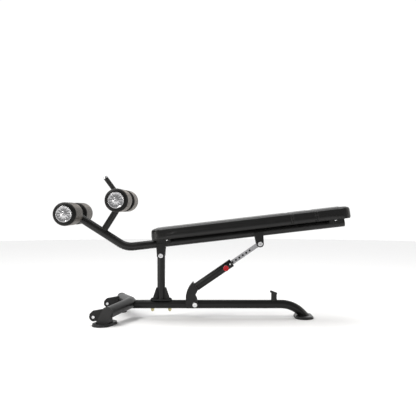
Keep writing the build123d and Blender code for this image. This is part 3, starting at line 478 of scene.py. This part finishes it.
looks = {
    "frame_black": powder_coat(),
    "pad_vinyl": vinyl(),
    "board_black": painted_board(),
    "roller_foam": moulded_foam(),
    "roller_core": satin_plastic("roller_core_grey", (0.09, 0.09, 0.092)),
    "polished_disc": turned_aluminium(),
    "bright_bolt": polished_metal("bright_plating", (0.70, 0.70, 0.71), 0.2),
    "zinc_nut": yellow_zinc(),
    "zinc_bar": zinc_plate(),
    "red_knob": red_plastic(),
    "black_rubber": dull_rubber("rubber_black"),
    "black_plastic": satin_plastic("plastic_black", (0.018, 0.018, 0.018)),
    "bushing": polished_metal("sintered_bronze", (0.55, 0.36, 0.18), 0.4),
}
THREAD = spun_thread()

for node in nodes.values():
    for place in node.material_slots:
        place.material = looks[place.material.name]

# ---- rollers ---------------------------------------------------------------------------
ROLLER_RADIUS = 0.065
ROLLER_EDGE = 0.020
ROLLER_BORE = 0.025
BORE_RIM = 2 * MM
EDGE_STEPS = 12
SIDE_STEPS = 24
DENT = 0.5 * MM
DENT_SCALE = 22
SLACK = 0.2 * MM        # the foam's skin lies this far inside its full radius
SEED_STEP = 7.3         # keeps the dents of one roller unlike those of the next
FIFTHS = (0.0, 0.2, 0.4, 0.6, 0.8, 1.0)
FLUTES = 12
FLUTE_DEPTH = 0.28 * MM
FOAM_SEGMENTS = 128
DISC_SEGMENTS = 144


def foam_profile(length):
    """Foam roller's section, from the bore's inner end round the outside to its other end."""
    middle = ROLLER_RADIUS - ROLLER_EDGE
    straight = length - 2 * ROLLER_EDGE
    end_radii = [ROLLER_BORE + (middle - ROLLER_BORE) * t for t in (0.1, 0.5, 0.9)]
    points = [(ROLLER_BORE, 0.0)] + [(radius, 0.0) for radius in end_radii]
    points += arc(middle, ROLLER_EDGE, ROLLER_EDGE, -90, 0, EDGE_STEPS)
    for i in range(1, SIDE_STEPS):
        points.append((ROLLER_RADIUS, ROLLER_EDGE + straight * i / SIDE_STEPS))
    points += arc(middle, length - ROLLER_EDGE, ROLLER_EDGE, 0, 90, EDGE_STEPS)
    points += [(radius, length) for radius in reversed(end_radii)]
    points.append((ROLLER_BORE, length))
    return points


def foam_shape(seed):
    """Shallow dents of foam that has been leaned on. The rim of the bore stays round."""
    def shape(radius, height, angle):
        if radius < ROLLER_BORE + BORE_RIM:
            return radius, height
        spot = Vector((radius * math.cos(angle), radius * math.sin(angle), height)) * DENT_SCALE
        dent = DENT * (noise.noise(spot + Vector((seed, 0, 0))) + 1) / 2
        return radius - dent - SLACK, height
    return shape


def disc_profile():
    """Radii and heights of the cast disc, from its middle out over the rim to its back."""
    socket = [(0.3, 2.4), (3.4, 2.4), (3.6, 5.0), (4.0, 5.4)]
    boss = [(6.6, 5.4), (7.2, 5.1), (7.4, 4.2), (9.0, 4.2)]
    fall = [(9.5 + 8 * t, 4.3 - 2.6 * t * t) for t in FIFTHS]
    dish = [(18 + 19 * t, 1.7 - 0.5 * math.sin(math.pi * t)) for t in [i / 14 for i in range(15)]]
    rise = [(37.6 + 2.0 * t, 1.9 + 2.0 * blend_in(t, 0, 1)) for t in FIFTHS[1:]]
    land = [(40.4, 4.1), (41.6, 4.1)]
    back = [(44, 0.6), (43.8, 0.1), (20, 0.1)]
    lip = arc(42.2 * MM, 2.2 * MM, 1.8 * MM, 80, 0, 6)
    return in_mm(socket + boss + fall + dish + rise + land) + lip + in_mm(back)


def disc_shape(radius, height, angle):
    """Radial flutes in the dish, and the six flats of the screw's socket."""
    dish = blend_in(radius, 17 * MM, 22 * MM) * (1 - blend_in(radius, 33 * MM, 37 * MM))
    if height > 0.5 * MM:
        height += FLUTE_DEPTH * dish * math.cos(FLUTES * angle)
    if 3 * MM < radius < 3.8 * MM:
        sector = (angle % (math.pi / 3)) - math.pi / 6
        radius *= math.cos(math.pi / 6) / math.cos(sector) * 1.07
    return radius, height


for roller_number, roller in enumerate(("lower_left", "lower_right", "upper_left", "upper_right")):
    side = LEFT if roller.endswith("left") else RIGHT
    body = f"roller_{roller}"
    low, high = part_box(f"roller_foam_{roller}")
    middle = (low + high) / 2
    inner_y = high.y if side == LEFT else low.y
    outer_y = low.y if side == LEFT else high.y
    foam = turned_piece(
        f"foam_roller_{roller}",
        foam_profile(high.y - low.y),
        sideways(Vector((middle.x, inner_y, middle.z)), side),
        FOAM_SEGMENTS,
        foam_shape(roller_number * SEED_STEP),
    )
    dress(foam, body, looks["roller_foam"])
    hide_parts(f"roller_foam_{roller}")
    disc = turned_piece(
        f"end_disc_{roller}",
        disc_profile(),
        sideways(Vector((middle.x, outer_y, middle.z)), side),
        DISC_SEGMENTS,
        disc_shape,
    )
    dress(disc, body, looks["polished_disc"])
    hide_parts(f"roller_disc_{roller}")

# ---- pad -------------------------------------------------------------------------------
SEAMS = (0.796, 0.931)       # distances of the two sewn bands from the pad's low end
SEAM_HALF = 0.0055           # half the distance between the two stitch lines of a band
SEAM_GROOVE = 3.0 * MM       # depth of a stitch line
SEAM_PULL = 1.2 * MM         # depth of the wide hollow round a band
SEAM_LOOPS = (-3, -2, -1, -0.4, 0.4, 1, 2, 3)    # mm from a stitch line to the loops cut there
PAD_EDGE = 0.011             # radius of the cover's upper edge before it is filled
PAD_SWELL = 2.2 * MM         # room left on each side for the filling
PAD_RISE = 2.5 * MM          # room left on top
PAD_VOXEL = 5 * MM
PAD_PRESSURE = 3.0
PAD_FRAMES = 18
PAD_STRETCH = 4 * MM         # furthest that a point of the cover moves
HELD_BELOW = 4 * MM          # the cover is stapled down below this height
SKIRT = 5 * MM               # the bands are sewn above this height
WRAP = 3.4 * MM              # width of the cover's wrap round the board
cushion_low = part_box("pad_cushion")[0]
pad_lean = math.sin(PAD_SLOPE) * (CUSHION_TOP - CUSHION_EDGE)
pad_origin = Vector((cushion_low.x + pad_lean, 0, cushion_low.z))
pad_place = axes(
    pad_origin,
    (math.cos(PAD_SLOPE), 0, math.sin(PAD_SLOPE)),
    (-math.sin(PAD_SLOPE), 0, math.cos(PAD_SLOPE)),
)


def rounded_outline(length, width, corner, inset, steps=10):
    """Points round the pad's plan, shrunk by an inset."""
    points = []
    radius = corner - inset
    for cx, cy, start in (
        (length - corner, width / 2 - corner, 0),
        (corner, width / 2 - corner, 90),
        (corner, corner - width / 2, 180),
        (length - corner, corner - width / 2, 270),
    ):
        for i in range(steps + 1):
            angle = math.radians(start + 90 * i / steps)
            points.append((cx + radius * math.cos(angle), cy + radius * math.sin(angle)))
    return points


def pad_block():
    """Closed starting shape of the cushion, a little smaller than it will be when full."""
    bm = bmesh.new()
    top = CUSHION_TOP - PAD_RISE
    levels = [(0.5 * MM, 3 * MM), (2 * MM, 1 * MM), (5 * MM, 0.0), (top - PAD_EDGE, 0.0)]
    for i in range(1, 6):
        angle = math.radians(90 * i / 5)
        levels.append((top - PAD_EDGE * (1 - math.sin(angle)), PAD_EDGE * (1 - math.cos(angle))))
    rows = []
    for height, inset in levels:
        outline = rounded_outline(PAD_LENGTH, PAD_WIDTH, PAD_CORNER, PAD_SWELL + inset)
        rows.append([bm.verts.new((x, y, height)) for x, y in outline])
    grid_faces(bm, rows)
    bm.faces.new(rows[0])
    bm.faces.new(rows[-1])
    return add_object("pad_cover", bm)


def remesh(piece, voxel):
    """Even quads over a closed piece."""
    modifier = piece.modifiers.new("remesh", "REMESH")
    modifier.mode = "VOXEL"
    modifier.voxel_size = voxel
    modifier.use_smooth_shade = True
    bake_modifiers(piece)


def bake_modifiers(piece):
    """Applies every modifier of a piece."""
    graph = bpy.context.evaluated_depsgraph_get()
    mesh = bpy.data.meshes.new_from_object(piece.evaluated_get(graph))
    old = piece.data
    piece.modifiers.clear()
    piece.data = mesh
    bpy.data.meshes.remove(old)


def inflate(piece, held, pressure, frames, cap):
    """Cloth simulation: pressure fills the piece, and no point moves further than cap."""
    group = piece.vertex_groups.new(name="held")
    group.add([v.index for v in piece.data.vertices if held(v.co)], 1.0, "REPLACE")
    start = [v.co.copy() for v in piece.data.vertices]
    cloth = piece.modifiers.new("cloth", "CLOTH")
    cloth.settings.quality = 5
    cloth.settings.mass = 0.3
    cloth.settings.tension_stiffness = 30
    cloth.settings.compression_stiffness = 30
    cloth.settings.shear_stiffness = 12
    cloth.settings.bending_stiffness = 2.5
    cloth.settings.use_pressure = True
    cloth.settings.uniform_pressure_force = pressure
    cloth.settings.effector_weights.gravity = 0
    cloth.settings.vertex_group_mass = "held"
    cloth.collision_settings.use_collision = False
    cloth.point_cache.frame_start = 1
    cloth.point_cache.frame_end = frames
    for number in range(1, frames + 1):
        scene.frame_set(number)
    bake_modifiers(piece)
    scene.frame_set(1)
    for vertex, rest in zip(piece.data.vertices, start):
        moved = vertex.co - rest
        if moved.length > cap:
            vertex.co = rest + moved.normalized() * cap
    piece.vertex_groups.clear()


def cut_rows(piece, places):
    """Adds an edge loop across the piece at each local x."""
    bm = bmesh.new()
    bm.from_mesh(piece.data)
    for place in places:
        geometry = bm.verts[:] + bm.edges[:] + bm.faces[:]
        bmesh.ops.bisect_plane(bm, geom=geometry, plane_co=(place, 0, 0), plane_no=X, dist=1e-5)
    bm.to_mesh(piece.data)
    bm.free()


def sew_bands(piece):
    """Pulls the two stitch lines of each band in, and leaves a low welt between them."""
    normals = [vertex.normal.copy() for vertex in piece.data.vertices]
    for vertex, normal in zip(piece.data.vertices, normals):
        depth = 0.0
        for seam in SEAMS:
            away = abs(vertex.co.x - seam)
            groove = math.exp(-(((away - SEAM_HALF) / 2.0 / MM) ** 2))
            pull = math.exp(-((away / 14 / MM) ** 2))
            depth += SEAM_GROOVE * groove + SEAM_PULL * pull
        if depth > 1e-6 and vertex.co.z > SKIRT:
            normal.x = 0
            vertex.co -= normal * depth


def open_pocket(piece):
    """Hollows the underside, so that the board lies in the cover and its edges are wrapped."""
    for vertex in piece.data.vertices:
        x, y, z = vertex.co
        if z > 3 * MM:
            continue
        past_x = max(abs(x - PAD_LENGTH / 2) - (PAD_LENGTH / 2 - PAD_CORNER), 0.0)
        past_y = max(abs(y) - (PAD_WIDTH / 2 - PAD_CORNER), 0.0)
        if math.hypot(past_x, past_y) < PAD_CORNER - PAD_SWELL - WRAP:
            vertex.co.z = BOARD_THICKNESS + 0.2 * MM


pad = pad_block()
remesh(pad, PAD_VOXEL)
inflate(pad, lambda co: co.z < HELD_BELOW, PAD_PRESSURE, PAD_FRAMES, PAD_STRETCH)
smooth = pad.modifiers.new("smooth", "SMOOTH")
smooth.iterations = 2
subdivide = pad.modifiers.new("subdivide", "SUBSURF")
subdivide.levels = subdivide.render_levels = 1
bake_modifiers(pad)
cut_rows(pad, [
    seam + side * (SEAM_HALF + offset * MM)
    for seam in SEAMS for side in (-1, 1) for offset in SEAM_LOOPS
])
sew_bands(pad)
open_pocket(pad)
for face in pad.data.polygons:
    face.use_smooth = True


def surface_path(piece, place):
    """Points and normals over the pad's section at a local x, from one lower edge to the other.

    Rays are cast inwards: level at the side, fanned round the upper edge, and down on the top.
    """
    tree = BVHTree.FromObject(piece, bpy.context.evaluated_depsgraph_get())
    reach = PAD_WIDTH / 2
    base = 4 * MM
    heart = CUSHION_TOP - 25 * MM
    turn_y = -reach + 0.03
    starts = [((-reach - 0.03, base + (heart - base) * i / 20), (1, 0)) for i in range(20)]
    for i in range(41):
        turn = math.radians(180 - 90 * i / 40)
        away_y, away_z = math.cos(turn), math.sin(turn)
        starts.append(((turn_y + 0.08 * away_y, heart + 0.08 * away_z), (-away_y, -away_z)))
    starts += [((turn_y + (reach - 0.03) * i / 60, heart + 0.08), (0, -1)) for i in range(1, 61)]
    mirrored = [((-y, z), (-dy, dz)) for (y, z), (dy, dz) in reversed(starts[:-1])]
    points = []
    for (y, z), (dy, dz) in starts + mirrored:
        hit, normal, _, _ = tree.ray_cast(Vector((place, y, z)), Vector((0, dy, dz)))
        if hit:
            points.append((hit, normal))
    return points


def walk(points, pitch):
    """Evenly spaced points and normals along a path."""
    travelled, wanted, made = 0.0, pitch / 2, []
    for (a, normal_a), (b, normal_b) in zip(points, points[1:]):
        step = (b - a).length
        while step > 0 and travelled + step >= wanted:
            share = (wanted - travelled) / step
            normal = normal_a.lerp(normal_b, share).normalized()
            made.append((a.lerp(b, share), normal, (b - a).normalized()))
            wanted += pitch
        travelled += step
    return made


STITCH_PITCH = 4.6 * MM
STITCH_LENGTH = 3.6 * MM
STITCH_STEPS = 6
THREAD_RADIUS = 0.42 * MM
THREAD_SIDES = 6


def stitch(bm, spot, normal, along):
    """One stitch: a short bowed strand that dips into the cover at both ends."""
    across = normal.cross(along).normalized()
    rows = []
    for i in range(STITCH_STEPS + 1):
        t = i / STITCH_STEPS
        bow = math.sin(math.pi * t)
        middle = spot + along * STITCH_LENGTH * (t - 0.5) + normal * (0.5 * bow - 0.35) * MM
        radius = THREAD_RADIUS * (0.6 + 0.4 * bow)
        rows.append([
            bm.verts.new(middle + (across * math.cos(a) + normal * math.sin(a)) * radius)
            for a in [2 * math.pi * j / THREAD_SIDES for j in range(THREAD_SIDES)]
        ])
    grid_faces(bm, rows)
    bm.faces.new(rows[0])
    bm.faces.new(rows[-1])


sewing = bmesh.new()
for seam in SEAMS:
    for side in (-1, 1):
        for spot, normal, along in walk(surface_path(pad, seam + side * SEAM_HALF), STITCH_PITCH):
            stitch(sewing, spot, normal, along)
stitching = add_object("pad_stitching", sewing, pad_place)
dress(stitching, "beam", THREAD)

pad.matrix_world = pad_place
dress(pad, "beam", looks["pad_vinyl"])
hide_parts("pad_cushion")

# ---- knob and wheels -------------------------------------------------------------------
KNOB_RADIUS = 0.0165
KNOB_EDGE = 4 * MM
KNOB_LOBES = 6
LOBE_DEPTH = 0.11            # share of the radius
TREAD_START = 24.5 * MM
TREAD_GROOVES = 36
TREAD_DEPTH = 0.35 * MM
WHEEL_SEGMENTS = 144


def knob_profile(length):
    """Knob's section, from the middle of its back over the grip to the middle of its face."""
    grip_radius = KNOB_RADIUS - KNOB_EDGE
    points = in_mm([(0.5, 0.0), (7, 0.0), (9, 1), (10, 5)])
    points += arc(grip_radius, 11 * MM, KNOB_EDGE, -90, 0, 6)
    points += arc(grip_radius, length - KNOB_EDGE, KNOB_EDGE, 0, 80, 8)
    dished = ((9, 0.1), (8.4, 0.9), (4, 0.6), (0.5, 0.5))
    return points + [(radius * MM, length - depth * MM) for radius, depth in dished]


def knob_shape(radius, height, angle):
    """Soft lobes for the fingers."""
    grasp = blend_in(radius, 9 * MM, 14 * MM)
    valley = (0.5 - 0.5 * math.cos(KNOB_LOBES * angle)) ** 1.5
    return radius * (1 - LOBE_DEPTH * grasp * valley), height


knob_low, knob_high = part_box("pin_knob")
knob_middle = centre("pin_knob")
knob_place = sideways(Vector((knob_middle.x, knob_high.y, knob_middle.z)), LEFT)
knob = turned_piece(
    "lobed_knob", knob_profile(knob_high.y - knob_low.y), knob_place, shape=knob_shape
)
dress(knob, "pin", looks["red_knob"])
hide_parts("pin_knob")


def tyre_shape(radius, height, angle):
    """Shallow moulded grooves across the tread."""
    if radius > TREAD_START:
        radius -= TREAD_DEPTH * (0.5 + 0.5 * math.cos(TREAD_GROOVES * angle)) ** 6
    return radius, height


# Half of the wheel's section: hub, web, rim and rounded tread.
half_wheel = in_mm([(5.2, 11.6), (8.4, 11.6), (9, 11.0), (9.2, 7.5), (11, 6.6)])
half_wheel += in_mm([(16.5, 6.4), (17.6, 7), (18.2, 9.4), (18.6, 9.9)])
half_wheel += arc(21.6 * MM, 6.6 * MM, 3.4 * MM, 88, 0, 8)
wheel_profile = [(r, -h) for r, h in half_wheel] + [(25 * MM, 0.0)] + half_wheel[::-1]
for side_name, side in SIDES:
    wheel = turned_piece(
        f"ribbed_wheel_{side_name}",
        wheel_profile,
        sideways(centre(f"transport_wheel_{side_name}"), side),
        WHEEL_SEGMENTS,
        tyre_shape,
    )
    dress(wheel, f"wheel_{side_name}", looks["black_rubber"])
    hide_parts(f"transport_wheel_{side_name}")

# ---- weld beads ------------------------------------------------------------------------
BEAD_RADIUS = 2.0 * MM
BEAD_RIPPLE = 2.4 * MM
BEAD_SPOTS = 120
BEAD_SIDES = 10
RAIL_RADIUS = 25 * MM
POST_RADIUS = 22.75 * MM
HOLDER_RADIUS = 19 * MM
STOP_RADIUS = 16.5 * MM
AXLE_RADIUS = 16 * MM
HANDLE_RADIUS = 11 * MM
HOUSING_RADIUS = 11 * MM
RAIL_END = Vector((-0.3, 0, 0.078))             # on the main rail's axis, clear of the crossbar
HOLDER_FOOT = Vector((-0.5935, 0, 0.493))       # where the roller post's axis meets the beam's
POST_MIDDLE = 0.2
# Distances from the middles of the rods to the places where their rays start.
AXLE_CLEAR = 0.04
HOLDER_CLEAR = 0.06
HOUSING_CLEAR = 0.02


def weld_bead(name, body, host, start, along, radius):
    """Rippled bead where a round rod, drawn from a start along a direction, meets a host node."""
    tree = BVHTree.FromObject(nodes[host], bpy.context.evaluated_depsgraph_get())
    rod = axes(start, along.orthogonal(), along)
    spots = []
    for i in range(BEAD_SPOTS):
        angle = 2 * math.pi * i / BEAD_SPOTS
        out = rod.to_3x3() @ Vector((math.cos(angle), math.sin(angle), 0))
        hit = tree.ray_cast(start + out * radius, along)[0]
        if hit:
            spots.append((hit, out))
    bm = bmesh.new()
    rows = []
    travelled = 0.0
    count = len(spots)
    for i, (spot, out) in enumerate(spots):
        ahead, behind = spots[(i + 1) % count][0], spots[i - 1][0]
        forward = (ahead - behind).normalized()
        across = forward.cross(out).normalized()
        travelled += (spot - behind).length if i else 0.0
        size = BEAD_RADIUS * (1 + 0.13 * math.sin(2 * math.pi * travelled / BEAD_RIPPLE))
        size *= 1 + 0.12 * noise.noise(spot * 160)
        rows.append([
            bm.verts.new(spot + (out * math.cos(a) + across * math.sin(a)) * size)
            for a in [2 * math.pi * j / BEAD_SIDES for j in range(BEAD_SIDES)]
        ])
    grid_faces(bm, rows, closed_columns=True)
    return dress(add_object(name, bm), body, looks["frame_black"])


post_axle = centre("upper_axle")
AXLES = (("lower", "beam_tube", centre("lower_axle")), ("upper", "roller_post", post_axle))
handle_cap = centre("handle_cap")
stop_top = Vector((centre("stop_post").x, 0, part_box("stop_post")[1].z))
post_middle = Vector((centre("post_tube").x, 0, POST_MIDDLE))
holder_down = (HOLDER_FOOT - post_axle).normalized()
handle_down = (post_axle - handle_cap).normalized()
holder_start = post_axle + holder_down * HOLDER_CLEAR
housing_start = centre("pin_housing") - HOUSING_CLEAR * Y
weld_bead("weld_rail", "frame", "front_crossbar", RAIL_END, -X, RAIL_RADIUS)
weld_bead("weld_stop", "frame", "main_rail", stop_top, -Z, STOP_RADIUS)
weld_bead("weld_post", "frame", "post_flange", post_middle, -Z, POST_RADIUS)
weld_bead("weld_holder", "beam", "beam_tube", holder_start, holder_down, HOLDER_RADIUS)
weld_bead("weld_handle", "beam", "roller_post", handle_cap, handle_down, HANDLE_RADIUS)
for side_name, side in SIDES:
    for level, host, axle in AXLES:
        start = axle + side * AXLE_CLEAR * Y
        weld_bead(f"weld_axle_{level}_{side_name}", "beam", host, start, -side * Y, AXLE_RADIUS)
weld_bead("weld_pin_housing", "sleeve", "sleeve_tube", housing_start, Y, HOUSING_RADIUS)

# ---- studio ----------------------------------------------------------------------------
CAMERA_PLACE = Vector((0.0185, -3.5, 0.635))
CAMERA_LENS = 52.2
FLOOR_RADIUS = 9
SKY_POWER = 1.15
SKY_SPREAD = math.radians(50)
SKY_AIM = Vector((0.3, -0.2, -1))
# Strength of the background against the Y of its direction: dim towards -Y, bright towards +Y.
SWEEP = (("From Min", -0.15), ("From Max", 0.55), ("To Min", 0.33), ("To Max", 1.05))


def studio_material(name, colour, roughness):
    """Matt paper with a faint tooth."""
    look = Look(name, colour, roughness, Specular_IOR_Level=0.1)
    look.mottle(look.noise(3, 2), 0.005)
    return look.finish(look.bump(look.noise(400, 2), 0.1 * MM, 0.1))


floor_mesh = bmesh.new()
bmesh.ops.create_circle(floor_mesh, cap_ends=True, segments=96, radius=FLOOR_RADIUS)
floor = add_object("studio_floor", floor_mesh)
floor.data.materials.append(studio_material("studio_paper", (0.93, 0.93, 0.93), 0.9))
floor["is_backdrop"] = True


def soft_light(name, place, aim, size, power, colour=(1, 1, 1)):
    data = bpy.data.lights.new(name, "AREA")
    data.color = colour
    data.shape = "RECTANGLE"
    data.size, data.size_y = size
    data.energy = power
    lamp = bpy.data.objects.new(name, data)
    scene.collection.objects.link(lamp)
    lamp.location = place
    lamp.rotation_euler = (Vector(aim) - Vector(place)).to_track_quat("-Z", "Y").to_euler()
    lamp.visible_camera = False


middle = (cad_low + cad_high) / 2
soft_light("key", (-2.3, -1.6, 3.1), middle, (0.9, 0.8), 66, (1.0, 0.985, 0.96))
soft_light("overhead", (0.2, 0.3, 3.6), middle, (2.6, 0.4), 24)
soft_light("side", (3.4, -0.4, 1.5), middle, (0.9, 1.6), 18, (1.0, 0.94, 0.87))
soft_light("left_front", (-3.0, -2.4, 0.5), (-0.5, -0.2, 0.1), (0.8, 0.9), 17, (1.0, 0.98, 0.95))
sky = bpy.data.lights.new("sky", "SUN")
sky.energy = SKY_POWER
sky.angle = SKY_SPREAD
sky_lamp = bpy.data.objects.new("sky", sky)
scene.collection.objects.link(sky_lamp)
sky_lamp.rotation_euler = SKY_AIM.to_track_quat("-Z", "Y").to_euler()

world = bpy.data.worlds.new("studio_world")
scene.world = world
world.use_nodes = True
background = world.node_tree.nodes["Background"]
links = world.node_tree.links
direction = world.node_tree.nodes.new("ShaderNodeTexCoord")
parts = world.node_tree.nodes.new("ShaderNodeSeparateXYZ")
links.new(direction.outputs["Generated"], parts.inputs["Vector"])
sweep = world.node_tree.nodes.new("ShaderNodeMapRange")
sweep.interpolation_type = "SMOOTHSTEP"
for socket, value in SWEEP:
    sweep.inputs[socket].default_value = value
links.new(parts.outputs["Y"], sweep.inputs["Value"])
links.new(sweep.outputs["Result"], background.inputs["Strength"])
background.inputs["Color"].default_value = (1, 1, 1, 1)
scene.view_settings.view_transform = "Standard"

camera_data = bpy.data.cameras.new("camera")
camera_data.lens = CAMERA_LENS
camera_data.sensor_width = 36
camera = bpy.data.objects.new("camera", camera_data)
scene.collection.objects.link(camera)
camera.location = CAMERA_PLACE
camera.rotation_euler = (math.radians(90), 0, 0)
scene.camera = camera

# ---- size ------------------------------------------------------------------------------
low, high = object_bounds()
